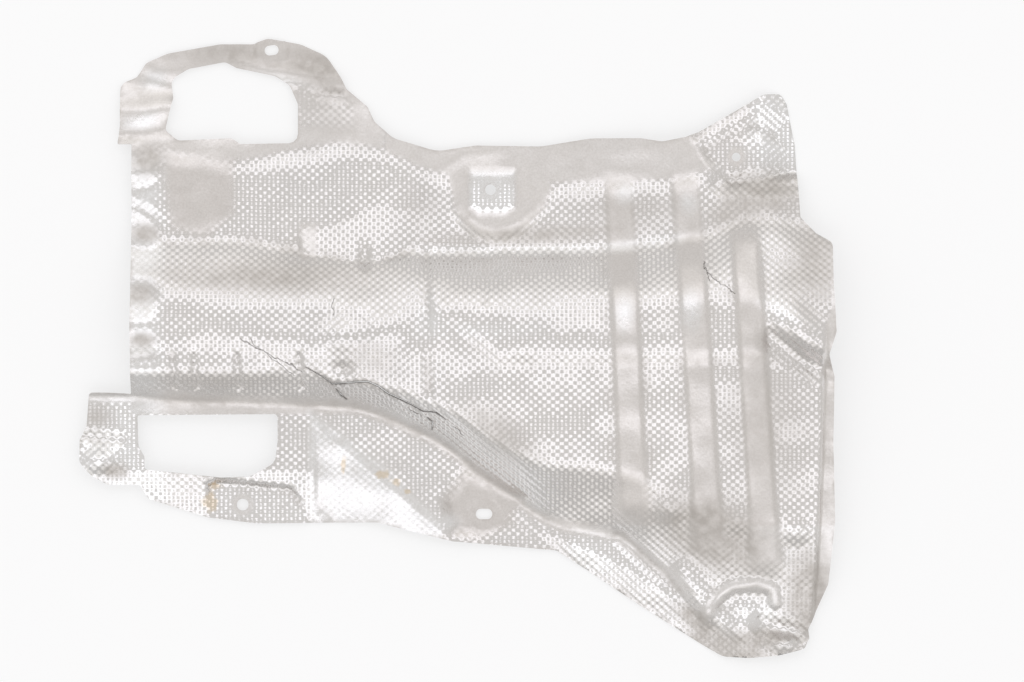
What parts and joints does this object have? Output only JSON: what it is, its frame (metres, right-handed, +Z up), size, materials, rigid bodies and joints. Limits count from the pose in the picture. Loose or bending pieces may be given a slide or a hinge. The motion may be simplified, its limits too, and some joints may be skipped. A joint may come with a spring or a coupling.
{
  "type": "heat shield",
  "caption": "Pressed and embossed aluminium sheet heat shield with a long tunnel, stiffening beads, two cut-outs and bolt holes in its flanges.",
  "frame": {"origin": "middle of the outline's box in plan, at the level of the lowest flange", "axes": "+X along the tunnel towards its wide end, +Y towards the slotted loop, +Z up out of the face that points away from the exhaust"},
  "size_m": [0.64, 0.5245, 0.0594],
  "materials": {
    "embossed_aluminium": "dimpled mill finish aluminium, heat stained and creased"
  },
  "bodies": {
    "root": {"heat_shield": "embossed_aluminium"}
  },
  "joints": []
}
